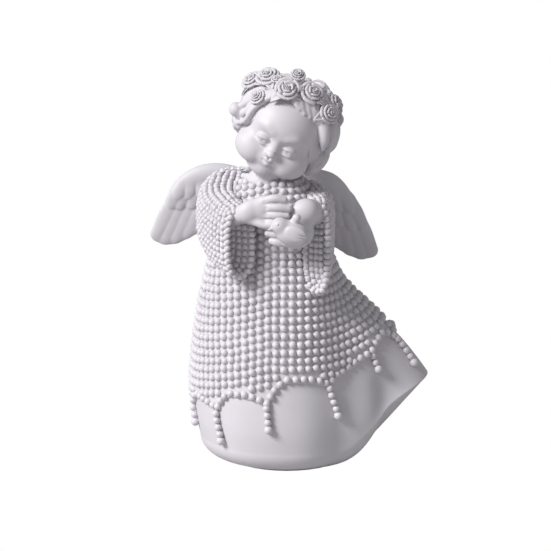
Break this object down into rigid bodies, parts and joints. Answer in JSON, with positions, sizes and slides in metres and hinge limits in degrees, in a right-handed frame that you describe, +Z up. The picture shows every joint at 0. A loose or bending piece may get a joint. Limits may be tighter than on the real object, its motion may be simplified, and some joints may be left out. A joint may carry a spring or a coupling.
{
  "type": "resin angel figurine",
  "caption": "Standing cherub figurine in a beaded gown with a scalloped hem, a swept train, bell sleeves, small wings and a rose wreath, holding a little bird.",
  "frame": {"origin": "centre of the felt pad's flat underside, which the figurine stands on", "axes": "+Z up; the figure faces -Y, so its right hand is towards -X and the train sweeps out towards +X"},
  "size_m": [0.1047, 0.0735, 0.1491],
  "materials": {
    "matte_resin": "matte",
    "pearl_beads": "matte",
    "felt": "matte",
    "steel": "satin"
  },
  "bodies": {
    "root": {"felt_pad": "felt", "underskirt": "matte_resin", "beaded_overskirt": "pearl_beads", "pearl_drop_01": "pearl_beads", "pearl_drop_02": "pearl_beads", "pearl_drop_03": "pearl_beads", "pearl_drop_04": "pearl_beads", "pearl_drop_05": "pearl_beads", "pearl_drop_06": "pearl_beads", "pearl_drop_07": "pearl_beads", "pearl_drop_08": "pearl_beads", "pearl_drop_09": "pearl_beads", "pearl_drop_10": "pearl_beads", "pearl_drop_11": "pearl_beads", "beaded_bodice": "pearl_beads", "right_sleeve": "pearl_beads", "left_sleeve": "pearl_beads", "right_forearm": "matte_resin", "left_forearm": "matte_resin", "bird": "matte_resin", "head": "matte_resin", "hair_cap": "matte_resin", "temple_curl": "matte_resin", "right_fringe": "matte_resin", "left_fringe": "matte_resin", "left_side_lock": "matte_resin", "left_nape_curl": "matte_resin", "right_nape_curl": "matte_resin", "wreath_vine": "matte_resin", "rose_01": "matte_resin", "rose_02": "matte_resin", "rose_03": "matte_resin", "rose_04": "matte_resin", "rose_05": "matte_resin", "rose_06": "matte_resin", "rose_07": "matte_resin", "rose_08": "matte_resin", "rose_09": "matte_resin", "right_wing": "matte_resin", "left_wing": "matte_resin", "right_wing_pin": "steel", "left_wing_pin": "steel", "neck_dowel": "steel"}
  },
  "joints": []
}
